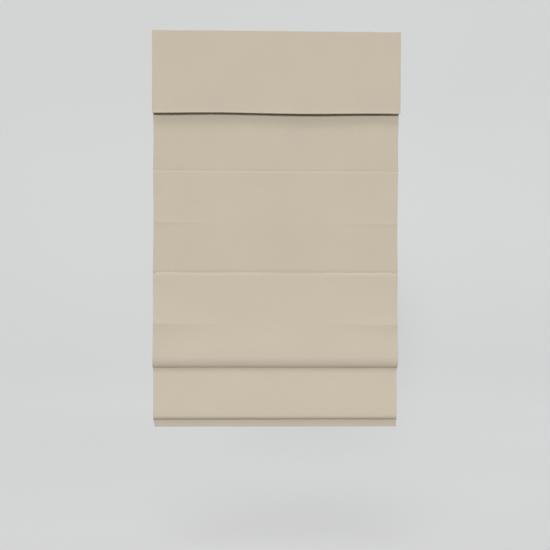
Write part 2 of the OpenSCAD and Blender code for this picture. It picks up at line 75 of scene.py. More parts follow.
def make_camera():
    data = bpy.data.cameras.new("camera")
    data.sensor_width = SENSOR_MM
    data.lens = CAMERA_FOCAL_PX * SENSOR_MM / IMAGE_PX
    camera = bpy.data.objects.new("camera", data)
    bpy.context.scene.collection.objects.link(camera)
    forward = Vector((
        math.sin(CAMERA_YAW) * math.cos(CAMERA_PITCH),
        math.cos(CAMERA_YAW) * math.cos(CAMERA_PITCH),
        -math.sin(CAMERA_PITCH),
    ))
    level = Vector((math.cos(CAMERA_YAW), -math.sin(CAMERA_YAW), 0.0))
    above = level.cross(forward)
    right = math.cos(CAMERA_ROLL) * level + math.sin(CAMERA_ROLL) * above
    up = right.cross(forward)
    turn = Matrix((right, up, -forward)).transposed().to_4x4()
    camera.matrix_world = Matrix.Translation(CAMERA_TARGET - CAMERA_DISTANCE * forward) @ turn
    bpy.context.scene.camera = camera


make_camera()


# Places of the CAD pieces, in millimetres

def middle(node):
    low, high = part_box(node)
    return (low + high) / 2 / MM


def low_high(node, axis):
    low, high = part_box(node)
    return low[axis] / MM, high[axis] / MM


ROD_Y, ROD_Z = {}, {}
for number in (1, 2, 3, 4):
    ROD_Y[number], ROD_Z[number] = middle(f"batten_{number}")[1:]
CLOTH_T = 1.2
POCKET_R = 3.6
POCKET_Y = ROD_Y[3]
PANEL_Y = POCKET_Y - POCKET_R + CLOTH_T / 2
BEAD_Z = middle("fabric_spline")[2]
PANEL_HALF = low_high("fabric_panel", 0)[1]
VALANCE_HALF = low_high("valance", 0)[1]
VALANCE_BOTTOM, VALANCE_TOP = low_high("valance", 2)
VALANCE_Y = low_high("valance", 1)[0] + CLOTH_T / 2
FOLD_BOTTOM = low_high("fabric_fold", 2)[0]
BAR_Y, BAR_Z = middle("bottom_rail")[1:]
SPOOL_X = middle("cord_spool_right")[0]
SHAFT_Y, SHAFT_Z = middle("lift_shaft")[1:]
CORD_Y = middle("cord_adjuster_right")[1]


# Materials

def linear(r, g, b):
    """A colour as a screen shows it, 0 to 255, as the linear colour that shaders take."""
    values = [c / 255 for c in (r, g, b)]
    return tuple(c / 12.92 if c <= 0.04045 else ((c + 0.055) / 1.055) ** 2.4 for c in values) + (1.0,)


class Nodes:
    """A material's node tree, with short calls to add and link nodes."""

    def __init__(self, name):
        self.material = bpy.data.materials.new(name)
        self.material.use_nodes = True
        self.tree = self.material.node_tree
        self.shader = self.tree.nodes["Principled BSDF"]

    def add(self, kind, inputs=(), **settings):
        node = self.tree.nodes.new(kind)
        for key, value in settings.items():
            setattr(node, key, value)
        for key, value in dict(inputs).items():
            self.put(node.inputs[key], value)
        return node

    def put(self, socket, value):
        if isinstance(value, bpy.types.NodeSocket):
            self.tree.links.new(value, socket)
        else:
            socket.default_value = value

    def set(self, **values):
        for key, value in values.items():
            self.put(self.shader.inputs[key.replace("_", " ")], value)

    def math(self, operation, a, b=0.0, c=0.0):
        return self.add("ShaderNodeMath", {0: a, 1: b, 2: c}, operation=operation).outputs[0]

    def scaled(self, vector, scale):
        return self.add("ShaderNodeMapping", {"Vector": vector, "Scale": scale}).outputs[0]

    def noise(self, vector, scale, detail=2.0, roughness=0.5):
        values = {"Vector": vector, "Scale": scale, "Detail": detail, "Roughness": roughness}
        return self.add("ShaderNodeTexNoise", values).outputs["Fac"]

    def ramp(self, factor, low, high, start=0.0, end=1.0):
        node = self.add("ShaderNodeValToRGB", {"Fac": factor})
        first, last = node.color_ramp.elements
        first.position, last.position = start, end
        first.color, last.color = low, high
        return node.outputs["Color"]

    def bump(self, height, distance, strength=1.0):
        values = {"Height": height, "Distance": distance, "Strength": strength}
        return self.add("ShaderNodeBump", values).outputs["Normal"]

    def uv(self):
        return self.add("ShaderNodeUVMap", uv_map="UVMap").outputs["UV"]

    def place(self):
        return self.add("ShaderNodeTexCoord").outputs["Object"]


def shade(colour, factor):
    return tuple(c * factor for c in colour[:3]) + (1.0,)


CLOTH_COLOUR = linear(199, 188, 170)
THREADS_PER_M = 1500.0
SLUB_LONG, SLUB_FINE = 14.0, 700.0


def cloth_material():
    """A smooth plain weave with faint slubs; UVs are metres along and across the cloth."""
    n = Nodes("blind_cloth")
    uv = n.uv()
    split = n.add("ShaderNodeSeparateXYZ", {"Vector": uv})
    waves = []
    for axis in ("X", "Y"):
        turns = n.math("MULTIPLY", split.outputs[axis], math.pi * THREADS_PER_M)
        waves.append(n.math("SINE", turns))
    weave = n.math("MULTIPLY", *waves)
    weft = n.noise(n.scaled(uv, (SLUB_LONG, SLUB_FINE, 1.0)), 1.0, 3.0, 0.6)
    warp = n.noise(n.scaled(uv, (SLUB_FINE, SLUB_LONG, 1.0)), 1.0, 3.0, 0.6)
    slubs = n.math("ADD", weft, warp)
    cloud = n.noise(uv, 5.0, 2.0)
    tone = n.math("MULTIPLY_ADD", cloud, 0.4, n.math("MULTIPLY", slubs, 0.5))
    colour = n.ramp(tone, shade(CLOTH_COLOUR, 0.95), shade(CLOTH_COLOUR, 1.05), 0.4, 1.0)
    height = n.math("MULTIPLY_ADD", weave, 0.25, slubs)
    n.set(Base_Color=colour, Roughness=0.85, Normal=n.bump(height, 0.00012, 0.5))
    n.set(Specular_IOR_Level=0.2, Sheen_Weight=0.08, Sheen_Roughness=0.5)
    return n.material


def coat_material():
    """White powder coat with its fine orange peel."""
    n = Nodes("powder_coat")
    place = n.place()
    peel = n.noise(place, 900.0, 2.0)
    cloud = n.noise(place, 6.0, 3.0)
    n.set(Base_Color=n.ramp(cloud, linear(232, 232, 228), linear(243, 243, 240), 0.3, 0.7))
    n.set(Roughness=0.42, Normal=n.bump(peel, 0.0001, 0.35))
    return n.material


def zinc_material(name, dark, light, roughness):
    """Zinc plate or rolled strip with fine drawn lines along X."""
    n = Nodes(name)
    place = n.place()
    lines = n.noise(n.scaled(place, (30.0, 2200.0, 2200.0)), 1.0, 2.0)
    spangle = n.noise(place, 420.0, 3.0)
    n.set(Base_Color=n.ramp(spangle, dark, light, 0.35, 0.65), Metallic=1.0)
    n.set(Roughness=roughness, Normal=n.bump(lines, 0.00005, 0.3))
    return n.material


def plastic_material(name, dark, light, roughness, see_through=0.0):
    """Moulded plastic with a faint spark-eroded grain."""
    n = Nodes(name)
    place = n.place()
    grain = n.noise(place, 1400.0, 2.0)
    cloud = n.noise(place, 25.0, 2.0)
    n.set(Base_Color=n.ramp(cloud, dark, light, 0.3, 0.7), Roughness=roughness)
    n.set(Normal=n.bump(grain, 0.00008, 0.3), Transmission_Weight=see_through, IOR=1.46)
    return n.material


def rod_material():
    """A pultruded rod with long fibres under its skin."""
    n = Nodes("fibre_rod")
    fibres = n.noise(n.scaled(n.place(), (12.0, 3000.0, 3000.0)), 1.0, 3.0)
    n.set(Base_Color=n.ramp(fibres, linear(214, 205, 178), linear(240, 235, 218), 0.3, 0.7))
    n.set(Roughness=0.4, Normal=n.bump(fibres, 0.00005, 0.3))
    return n.material


BRAID_PITCH_M = 0.0016
BRAID_STRANDS = 3


def cord_material():
    """Braided cord, with painted shade in the grooves between its strands; UVs are metres along the cord and
    turns round it.
    """
    n = Nodes("braided_cord")
    split = n.add("ShaderNodeSeparateXYZ", {"Vector": n.uv()})
    along = n.math("MULTIPLY", split.outputs["X"], 2 * math.pi / BRAID_PITCH_M)
    around = n.math("MULTIPLY", split.outputs["Y"], 2 * math.pi * BRAID_STRANDS)
    one = n.math("SINE", n.math("ADD", along, around))
    other = n.math("SINE", n.math("SUBTRACT", along, around))
    braid_height_and_groove_shade = n.math("MAXIMUM", one, other)
    # The braid's height sets the bump, and its low grooves are painted darker as shade.
    n.set(Base_Color=n.ramp(braid_height_and_groove_shade, linear(205, 200, 188), linear(240, 236, 226), 0.0, 0.8))
    n.set(Roughness=0.75, Normal=n.bump(braid_height_and_groove_shade, 0.0001, 0.6), Sheen_Weight=0.1)
    return n.material


def tape_material():
    """Hook-and-loop tape, a dense pile between woven edges."""
    n = Nodes("hook_and_loop")
    place = n.place()
    pile = n.noise(place, 1800.0, 3.0, 0.7)
    n.set(Base_Color=n.ramp(pile, linear(205, 203, 196), linear(246, 245, 240), 0.3, 0.7))
    n.set(Roughness=0.9, Normal=n.bump(pile, 0.0006, 0.8))
    return n.material


def thread_material():
    """Twisted sewing thread a shade lighter than the cloth."""
    n = Nodes("thread")
    twist = n.noise(n.place(), 1500.0, 2.0)
    n.set(Base_Color=n.ramp(twist, linear(196, 185, 166), linear(220, 210, 193), 0.3, 0.7))
    n.set(Roughness=0.6, Normal=n.bump(twist, 0.00004, 0.4))
    return n.material


CLOTH = cloth_material()
CORD = cord_material()
THREAD = thread_material()
SLOT_MATERIALS = {
    "headrail_metal": coat_material(),
    "bracket_steel": zinc_material("zinc_plate", linear(164, 166, 170), linear(188, 190, 194), 0.58),
    "spring_steel": zinc_material("spring_strip", linear(120, 122, 126), linear(160, 162, 166), 0.36),
    "white_plastic": plastic_material("white_plastic", linear(230, 230, 226), linear(242, 242, 238), 0.45),
    "clear_plastic": plastic_material(
        "clear_plastic", linear(222, 226, 224), linear(236, 240, 238), 0.2, see_through=0.75),
    "tape": tape_material(),
    "rod": rod_material(),
    "cloth": CLOTH,
    "cord": CORD,
}
for part in frame["record"]["subparts"]:
    node = frame["nodes"][part["node"]]
    node.data.materials.clear()
    node.data.materials.append(SLOT_MATERIALS[part["material_slot"]])


# Meshes

def mesh_object(name, points_mm, faces, uvs, material, sharp=()):
    """A smooth mesh. uvs holds one pair per point, and sharp the edges, as point pairs, that stay crisp."""
    mesh = bpy.data.meshes.new(name)
    mesh.from_pydata((np.asarray(points_mm, float) * MM).tolist(), [], faces)
    layer = mesh.uv_layers.new(name="UVMap")
    corner_points = np.zeros(len(mesh.loops), np.int32)
    mesh.loops.foreach_get("vertex_index", corner_points)
    layer.data.foreach_set("uv", np.asarray(uvs, np.float32)[corner_points].ravel())
    mesh.polygons.foreach_set("use_smooth", [True] * len(mesh.polygons))
    if len(sharp):
        crisp = {tuple(sorted(pair)) for pair in sharp}
        for edge in mesh.edges:
            edge.use_edge_sharp = tuple(sorted(edge.vertices)) in crisp
    mesh.materials.append(material)
    obj = bpy.data.objects.new(name, mesh)
    bpy.context.scene.collection.objects.link(obj)
    return obj


def shell(name, grid, thickness, material, uv):
    """A closed sheet of cloth whose middle is grid[row, column], in mm. The cross product of a row's run
    and a column's run points to its back."""
    rows, columns = grid.shape[:2]
    along = np.gradient(grid, axis=0)
    across = np.gradient(grid, axis=1)
    normal = np.cross(across, along)
    normal /= np.linalg.norm(normal, axis=2, keepdims=True)
    points = np.concatenate([(grid + normal * thickness / 2).reshape(-1, 3),
                             (grid - normal * thickness / 2).reshape(-1, 3)])
    count = rows * columns
    index = np.arange(count).reshape(rows, columns)
    quads = np.stack([index[:-1, :-1], index[:-1, 1:], index[1:, 1:], index[1:, :-1]], axis=-1)
    quads = quads.reshape(-1, 4)
    rim = np.concatenate([index[0, :-1], index[:-1, -1], index[-1, :0:-1], index[:0:-1, 0]])
    ahead = np.roll(rim, -1)
    faces = quads[:, ::-1].tolist() + (quads + count).tolist()
    faces += np.stack([rim, ahead, ahead + count, rim + count], axis=-1).tolist()
    edge = np.stack([rim, ahead], axis=-1)
    sharp = np.concatenate([edge, edge + count]).tolist()
    uvs = np.concatenate([uv.reshape(-1, 2)] * 2)
    return mesh_object(name, points, faces, uvs, material, sharp)


def lengths_along(path):
    """The distance from a path's start to each of its points."""
    return np.concatenate([[0], np.cumsum(np.linalg.norm(np.diff(path, axis=0), axis=1))])


ANY_DIRECTION = (0.3, 0.8, 0.5)


def tube(name, path_mm, radius, material, sides=12):
    """A closed round tube along a path, with UVs in metres along it and turns round it."""
    path = np.asarray(path_mm, float)
    along = np.gradient(path, axis=0)
    along /= np.linalg.norm(along, axis=1, keepdims=True)
    reach = lengths_along(path)
    aside = np.cross(along[0], ANY_DIRECTION)
    points, uvs = [], []
    for centre, direction, distance in zip(path, along, reach):
        aside = aside - direction * (aside @ direction)
        aside /= np.linalg.norm(aside)
        other = np.cross(direction, aside)
        for k in range(sides):
            w = 2 * math.pi * k / sides
            points.append(centre + radius * (math.cos(w) * aside + math.sin(w) * other))
            uvs.append((distance * MM, k / sides))
    faces = []
    for row in range(len(path) - 1):
        for k in range(sides):
            a, b = row * sides + k, row * sides + (k + 1) % sides
            faces.append((a, b, b + sides, a + sides))
    last = (len(path) - 1) * sides
    faces.append(tuple(range(sides - 1, -1, -1)))
    faces.append(tuple(range(last, last + sides)))
    return mesh_object(name, points, faces, uvs, material)


STITCH_R, STITCH_L, STITCH_PITCH = 0.28, 2.6, 3.4
STITCH_SIDES = 6
STITCH_ARCH = 0.8
STITCH_PROFILE = ((-0.5, 0.25), (-0.42, 0.8), (-0.2, 1.0), (0.2, 1.0), (0.42, 0.8), (0.5, 0.25))


def stitch_run(name, path, outward):
    """Raised stitches along a path, in mm, on the side of the cloth that outward points to."""
    path = np.asarray(path, float)
    outward = np.broadcast_to(np.asarray(outward, float), path.shape)
    reach = lengths_along(path)
    places = np.arange(STITCH_PITCH / 2, reach[-1] - STITCH_L / 2, STITCH_PITCH)

    def at(places, values):
        return np.stack([np.interp(places, reach, values[:, k]) for k in range(3)], axis=-1)

    bases, outs = at(places, path), at(places, outward)
    runs = at(places + STITCH_L / 2, path) - at(places - STITCH_L / 2, path)
    ring = [(math.cos(w), math.sin(w)) for w in np.linspace(0, 2 * math.pi, STITCH_SIDES + 1)[:-1]]
    points, faces, uvs = [], [], []
    for base, out, run in zip(bases, outs, runs):
        run = run / np.linalg.norm(run)
        side = np.cross(out, run)
        first = len(points)
        for place, width in STITCH_PROFILE:
            lift = out * STITCH_R * (1 - 4 * place * place) * STITCH_ARCH
            for c, v in ring:
                round_it = STITCH_R * width * (c * side + v * out)
                points.append(base + run * STITCH_L * place + lift + round_it)
                uvs.append((place, c))
        for row in range(len(STITCH_PROFILE) - 1):
            for j in range(STITCH_SIDES):
                a = first + STITCH_SIDES * row + j
                b = first + STITCH_SIDES * row + (j + 1) % STITCH_SIDES
                faces.append((a, b, b + STITCH_SIDES, a + STITCH_SIDES))
        last = first + STITCH_SIDES * (len(STITCH_PROFILE) - 1)
        faces.append(tuple(range(first + STITCH_SIDES - 1, first - 1, -1)))
        faces.append(tuple(range(last, last + STITCH_SIDES)))
    return mesh_object(name, points, faces, uvs, THREAD)


# Sections of the cloth, as [depth, height] points in millimetres

def smooth(a, ta, b, tb, n=24):
    """A curve from a to b that leaves along ta and arrives along tb."""
    a, ta, b, tb = (np.array(p, float) for p in (a, ta, b, tb))
    t = np.linspace(0, 1, n + 1)[:, None]
    return ((1 - t) ** 2 * (1 + 2 * t) * a + t * (1 - t) ** 2 * ta
            + t * t * (3 - 2 * t) * b - t * t * (1 - t) * tb)


def arc(centre, radius, start, end, n=16):
    w = np.radians(np.linspace(start, end, n + 1))
    return np.array(centre) + radius * np.stack([np.cos(w), np.sin(w)], axis=-1)


def line(a, b, n=2):
    return np.linspace(a, b, n + 1)


def chain(*runs):
    """The runs end to end, without points that repeat."""
    points = np.concatenate(runs)
    keep = np.concatenate([[True], np.linalg.norm(np.diff(points, axis=0), axis=1) > 1e-6])
    return points[keep]


FINE_REACH, FINE_FADE = 12, 30


def spaced(path, step, fine, fine_at):
    """The path with points a step apart, or fine apart near the heights in fine_at, and their distances."""
    reach = lengths_along(path)
    places, here = [], 0.0
    while here < reach[-1]:
        places.append(here)
        z = np.interp(here, reach, path[:, 1])
        near = min(abs(z - f) for f in fine_at)
        here += fine + (step - fine) * min(1.0, max(0.0, (near - FINE_REACH) / FINE_FADE))
    if reach[-1] - places[-1] < fine / 2:
        places.pop()
    places.append(reach[-1])
    places = np.array(places)
    return np.stack([np.interp(places, reach, path[:, k]) for k in (0, 1)], axis=-1), places


PANEL_BULGE = 3.0
RIDGE_OUT, RIDGE_SIDE = 12.0, 10.0
BELLY_OUT, BELLY_IN, BELLY_DROP, BELLY_TURN_H = 28.0, 13.0, 9.0, 24.0
TIER_OUT, TIER_BACK, TIER_ROUND_H = 24.0, 3.5, 15.0
TIER_BOTTOM = -1414.0
SKIRT_Y = PANEL_Y + 1.0
FOLD_PITCH = ROD_Z[4] - ROD_Z[3]
RIDGE_Z = ROD_Z[3] - FOLD_PITCH / 2
MID_OUT, MID_Z, MID_LEAN = 2.2, ROD_Z[4] - FOLD_PITCH / 2 - 5.0, 3.0
ROUND = 1.66  # pull on a quarter turn's ends that makes it about round
SHEET_T = 0.8
SKIN = SHEET_T / 2

# How the panel's curves run at their ends, as [depth, height]
ROD_RUN, RIDGE_RUN = (-8, -120), (-11, -110)
BELLY_RUN, BELLY_UNDER = (0, -70), (0, -34)
LOW_IN, LOW_OUT, POCKET_RUN = (24, -3), (12, 1), (2.6, 9.7)
LOOP_R, LOOP_START, LOOP_END = 2.8, -75, 258
LOOP_FOOT = 4
POCKET_FRONT, POCKET_RISE = 4.35, 1.2


def panel_section():
    """Middle of the cloth from its top loop round the spline to the second rod."""
    r2 = ROD_Z[2]
    ridge = (PANEL_Y - RIDGE_OUT, RIDGE_Z)
    belly = (PANEL_Y - BELLY_OUT, r2 + BELLY_TURN_H)
    low = (PANEL_Y - BELLY_IN, r2 - BELLY_DROP + CLOTH_T / 2)
    end = (POCKET_Y - POCKET_FRONT, r2 + POCKET_RISE)
    return chain(
        arc((PANEL_Y, BEAD_Z), LOOP_R, LOOP_START, LOOP_END),
        line((PANEL_Y, BEAD_Z - LOOP_FOOT), (PANEL_Y, ROD_Z[4]), 120),
        line((PANEL_Y, ROD_Z[4]), (PANEL_Y, ROD_Z[3]), 120),
        smooth((PANEL_Y, ROD_Z[3]), ROD_RUN, ridge, RIDGE_RUN, 48),
        smooth(ridge, RIDGE_RUN, belly, BELLY_RUN, 48),
        smooth(belly, BELLY_UNDER, low, LOW_IN, 48),
        smooth(low, LOW_OUT, end, POCKET_RUN),
    )


START_RUN, NECK_IN, NECK_OUT = (-9, -9), (-2.2, -18), (-10, -110)
TIER_DOWN, TIER_UP = (0, -90), (0, 90)
HEM_IN, HEM_DOWN, HEM_UP = (0, -12), (0, -10), (0, 9)
NECK_FORWARD, NECK_DROP = 4.5, 20
TURN_R, TURN_DROP = 1.0, 0.3
HEM_HALF, HEM_TOP, HEM_CORNER = 3.5, 10.0, 1.8
HEM_TAPER, HEM_TAB, TAB_BACK = 9, 17, 0.95


def fold_section():
    """Middle of the cloth, from the second rod round the raised fold, over the lowest rod to the hem."""
    r2, bottom = ROD_Z[2], TIER_BOTTOM + SKIN
    front, back_y = PANEL_Y - TIER_OUT, PANEL_Y - TIER_BACK
    half = (back_y - front) / 2
    start = (POCKET_Y - POCKET_R + CLOTH_T, r2 - CLOTH_T)
    neck, shoulder = (PANEL_Y - NECK_FORWARD, r2 - NECK_DROP), (front, bottom + TIER_ROUND_H)
    low, back = (front + half, bottom), (back_y, bottom + TIER_ROUND_H)
    turn = np.array([SKIRT_Y - TURN_R, ROD_Z[1] - TURN_DROP])
    hem_front, hem_back = BAR_Y - HEM_HALF, BAR_Y + HEM_HALF
    hem_low, hem_high = FOLD_BOTTOM + SKIN, BAR_Z + HEM_TOP
    foot = hem_low + HEM_CORNER
    tab_y = SKIRT_Y + TAB_BACK
    return chain(
        smooth(start, START_RUN, neck, NECK_IN),
        smooth(neck, NECK_OUT, shoulder, TIER_DOWN, 60),
        smooth(shoulder, (0, -ROUND * TIER_ROUND_H), low, (ROUND * half, 0), 40),
        smooth(low, (ROUND * half, 0), back, (0, ROUND * TIER_ROUND_H), 40),
        smooth(back, TIER_UP, turn - (TURN_R, 0), TIER_UP, 60),
        arc(turn, TURN_R, 180, 0),
        line((SKIRT_Y, turn[1]), (SKIRT_Y, hem_high + HEM_TAPER), 60),
        smooth((SKIRT_Y, hem_high + HEM_TAPER), HEM_IN, (hem_front, hem_high), HEM_DOWN),
        line((hem_front, hem_high), (hem_front, foot), 12),
        arc((hem_front + HEM_CORNER, foot), HEM_CORNER, 180, 270, 6),
        arc((hem_back - HEM_CORNER, foot), HEM_CORNER, 270, 360, 6),
        line((hem_back, foot), (hem_back, hem_high), 12),
        smooth((hem_back, hem_high), HEM_UP, (tab_y, hem_high + HEM_TAPER), HEM_UP),
        line((tab_y, hem_high + HEM_TAPER), (tab_y, hem_high + HEM_TAB), 4),
    )


EDGE_TURN_R, VALANCE_TURN_H, VALANCE_HEM_H = 0.5, 3.2, 24


def valance_section():
    """Middle of the valance's cloth, from its turned top edge down the front and round the hem."""
    back, middle_y = VALANCE_Y + 2 * EDGE_TURN_R, VALANCE_Y + EDGE_TURN_R
    top, bottom = VALANCE_TOP - SKIN - EDGE_TURN_R, VALANCE_BOTTOM + SKIN + EDGE_TURN_R
    return chain(
        line((back, top - VALANCE_TURN_H), (back, top), 3),
        arc((middle_y, top), EDGE_TURN_R, 0, 180, 8),
        line((VALANCE_Y, top), (VALANCE_Y, bottom), 100),
        arc((middle_y, bottom), EDGE_TURN_R, 180, 360, 8),
        line((back, bottom), (back, bottom + VALANCE_HEM_H), 8),
    )


# Sheets of cloth

HEM_W = 20.0
HEM_BACK = 0.95
FRONT_IN = 1.2
HEM_TURN = ((0.45, 0.06), (0.1, 0.3), (0.0, 0.5), (0.1, 0.7), (0.45, 0.9))  # in from the edge, and back
HEM_STEPS = (FRONT_IN, 3, 6, 10, 15, HEM_W)


def columns(half, step, hem):
    """Places across a cloth: x, how far behind the front it lies, and its distance along the width, in mm."""
    front = np.linspace(-half + FRONT_IN, half - FRONT_IN, int(2 * half / step))
    turn = [(half - inward, back) for inward, back in HEM_TURN]
    right = turn + [(half - inward, HEM_BACK) for inward in HEM_STEPS] if hem else turn[:2]
    x = np.concatenate([[-p[0] for p in reversed(right)], front, [p[0] for p in right]])
    back = np.concatenate([[p[1] for p in reversed(right)], np.zeros(len(front)), [p[1] for p in right]])
    reach = np.concatenate([[0], np.cumsum(np.hypot(np.diff(x), np.diff(back)))])
    return x, back, reach


def backward(path):
    """Unit normals of a section, towards the back of the cloth."""
    d = np.gradient(path, axis=0)
    n = np.stack([-d[:, 1], d[:, 0]], axis=-1)
    return n / np.linalg.norm(n, axis=1, keepdims=True)


RIPPLE_WAVES, RIPPLE_X, RIPPLE_Z, RIPPLE_PHASE = 5, (0.004, 0.016), (-0.012, 0.012), (0, 6.28)
UNEVEN = 0.5
PANEL_SEED, FOLD_SEED, VALANCE_SEED, SLEEVE_SEED = 11, 23, 5, 40


def ripple(x, z, seed):
    """A soft unevenness, from -1 to 1, that differs for each seed."""
    r = np.random.default_rng(seed)
    total = 0
    for _ in range(RIPPLE_WAVES):
        total = total + np.sin(x * r.uniform(*RIPPLE_X) + z * r.uniform(*RIPPLE_Z) + r.uniform(*RIPPLE_PHASE))
    return total / RIPPLE_WAVES


def ramped(start, length, z):
    """From 0 at a height to 1 a length below it."""
    return np.clip((start - z) / length, 0, 1)


COLUMN_STEP = 7.0


def sheet_grid(path, half, hem, edge, forward, normal):
    """Grid of a cloth: a section run across the width. edge gives how far each side draws in at a row, and
    forward how far each point stands forward of the section, against the row's normal."""
    path_x, back, across = columns(half, COLUMN_STEP, hem)
    share = path_x / half
    left, right = edge
    x = path_x[None, :] + np.where(share < 0, left[:, None] * -share, -right[:, None] * share)
    shift = back[None, :] - forward(path_x[None, :], path)
    y = path[:, 0][:, None] + normal[:, 0][:, None] * shift
    z = path[:, 1][:, None] + normal[:, 1][:, None] * shift
    return np.stack([x, y, z], axis=-1), across


def uv_of(across, along):
    return np.stack(np.meshgrid(across * MM, along * MM), axis=-1)


def bow(z, top, bottom, depth):
    """A rise to depth and back between two held heights."""
    return depth * np.sin(np.pi * ramped(top, top - bottom, z))


CREASE_FADE = 45


def crease(z, at, dip, dip_w, step, step_w):
    """The line of a rod on the front: the cloth above draws back to it, and the cloth below steps forward."""
    above, below = np.maximum(z - at, 0), np.maximum(at - z, 0)
    drawn = -dip * np.exp(-above / dip_w)
    stepped = -dip + (dip + step) * (1 - np.exp(-below / step_w))
    return np.where(z >= at, drawn, stepped) * np.exp(-below / CREASE_FADE)


LIP_OUT, LIP_BEFORE, LIP_W = 0.35, 1.5, 2


def hem_lip(x, half):
    """The extra thickness of a side hem, as it shows on the front."""
    t = np.clip((np.abs(x) - (half - HEM_W - LIP_BEFORE)) / LIP_W, 0, 1)
    return LIP_OUT * t * t * (3 - 2 * t)


SIDE_START, SIDE_FADE, SIDE_POWER = 0.25, 0.65, 1.3


def side_share(x):
    """From 0 in the middle of the panel to 1 near both sides, where its soft folds show."""
    return np.clip((np.abs(x) / PANEL_HALF - SIDE_START) / SIDE_FADE, 0, 1) ** SIDE_POWER


MID_ROUND, MID_ABOVE, MID_BELOW = 1.2, 11, 7


def mid_ridge(x, z):
    """A faint ridge at both sides, about halfway between the upper rods."""
    off = z - MID_Z + MID_LEAN * x / PANEL_HALF
    fall = np.hypot(off, MID_ROUND) / np.where(off > 0, MID_ABOVE, MID_BELOW)
    return MID_OUT * side_share(x) * np.exp(-fall)


LOOP_HELD, LOOP_FADE = 8, 30
CALM_H = 40
BELLY_CALM = 60
RIDGE_WAVE, RIDGE_TURN = 2, 0.011
RIDGE_ROUND, RIDGE_ABOVE, RIDGE_BELOW, RIDGE_POWER = 2.5, 48, 34, 1.25
CREASE_4 = (1.2, 4.0, 1.9, 3.4)  # dip and its width, step and its width
CREASE_3 = (3.0, 5.5, 3.4, 4.2)
CREASE_3_BOW, CREASE_3_WAVE, CREASE_3_TURN = 1.4, 0.5, 0.017


def panel_forward(x, path):
    """How far the hanging cloth stands forward of its section: bulges, creases at the rods, a soft ridge
    and, between the upper rods, a faint one at both sides."""
    z = path[:, 1][:, None]
    r4, r3, share = ROD_Z[4], ROD_Z[3], np.abs(x) / PANEL_HALF
    held = ramped(BEAD_Z - LOOP_HELD, LOOP_FADE, z)
    total = hem_lip(x, PANEL_HALF) * held
    for top, bottom in ((BEAD_Z - LOOP_FOOT, r4), (r4, r3)):
        total = total + bow(z, top, bottom, PANEL_BULGE)
    calm = np.clip(np.abs(z - r4) / CALM_H, 0, 1) * np.clip(np.abs(z - r3) / CALM_H, 0, 1)
    calm = calm * np.clip((z - ROD_Z[2] - BELLY_CALM) / BELLY_CALM, 0, 1)
    total += UNEVEN * held * calm * ripple(x, z, PANEL_SEED)
    line_3 = r3 + CREASE_3_BOW * (1 - share ** 2) + CREASE_3_WAVE * np.sin(x * CREASE_3_TURN)
    total += crease(z, r4, *CREASE_4) + crease(z, line_3, *CREASE_3)
    off = z - RIDGE_Z - RIDGE_WAVE * np.sin(x * RIDGE_TURN)
    fall = np.hypot(off, RIDGE_ROUND) / np.where(off > 0, RIDGE_ABOVE, RIDGE_BELOW)
    total += RIDGE_SIDE * side_share(x) * np.where(off > 0, np.exp(-fall), np.exp(-fall ** RIDGE_POWER))
    return total + mid_ridge(x, z)


STITCH_OFF = 0.55


def hem_seams(name, grid, normal):
    """The stitches of both side hems, seen on the back: one row near each hem's inner edge."""
    out = np.stack([np.zeros(len(normal)), normal[:, 0], normal[:, 1]], axis=-1)
    return [stitch_run(f"{name}_{side}", grid[:, column] + STITCH_OFF * out, out)
            for side, column in (("left", 1), ("right", -2))]


POCKET_CLEAR, RUN_TOP, RUN_FOOT = 4.5, 14, 20
PANEL_RUNS = {
    "top": (BEAD_Z - RUN_TOP, ROD_Z[4] + POCKET_CLEAR),
    "middle": (ROD_Z[4] - POCKET_CLEAR, ROD_Z[3] + POCKET_CLEAR),
    "low": (ROD_Z[3] - 3 * POCKET_CLEAR, ROD_Z[2] + RUN_FOOT),
}


PATH_STEP = 6.0
PANEL_FINE, FOLD_FINE, VALANCE_FINE = 1.5, 1.2, 0.4
TOP_DRAW, MIDDLE_DRAW, LOW_DRAW = 2.0, 2.4, 1.6


def make_panel():
    """The panel's cloth, the stitches of its side hems by run, and its flat width and length in metres."""
    fine_at = (BEAD_Z, ROD_Z[4], MID_Z, ROD_Z[3], RIDGE_Z, ROD_Z[2])
    path, along = spaced(panel_section(), PATH_STEP, PANEL_FINE, fine_at)
    z = path[:, 1]
    draw = bow(z, VALANCE_BOTTOM, ROD_Z[4], TOP_DRAW) + bow(z, ROD_Z[4], ROD_Z[3], MIDDLE_DRAW)
    draw = draw + bow(z, ROD_Z[3], ROD_Z[2], LOW_DRAW)
    grid, across = sheet_grid(path, PANEL_HALF, True, (draw, draw), panel_forward, backward(path))
    obj = shell("panel_cloth", grid, SHEET_T, CLOTH, uv_of(across, along))
    sewn = grid.copy()  # taut stitches run straight past the faint ridge
    sewn[..., 1] += mid_ridge(grid[..., 0], grid[..., 2])
    seams = {}
    for run, (top, bottom) in PANEL_RUNS.items():
        keep = (z < top) & (z > bottom)
        seams[run] = hem_seams(f"panel_hem_seam_{run}", sewn[keep], backward(path)[keep])
    return obj, seams, across[-1] * MM, along[-1] * MM


SOFT_TOP, SOFT_FOOT, SOFT_FADE = 30, 20, 60
LIP_TOP, LIP_FADE = 15, 20
FOLD_DRAW, FOLD_DRAW_H = 3.0, 30
HEM_DRAW_LEFT, HEM_DRAW_RIGHT, HEM_DRAW_TOP, HEM_DRAW_H = 5.0, 0.5, 12, 25
SKIRT_NEAR, SKIRT_SEAM_TOP, SKIRT_SEAM_FOOT = 0.01, 12, 30


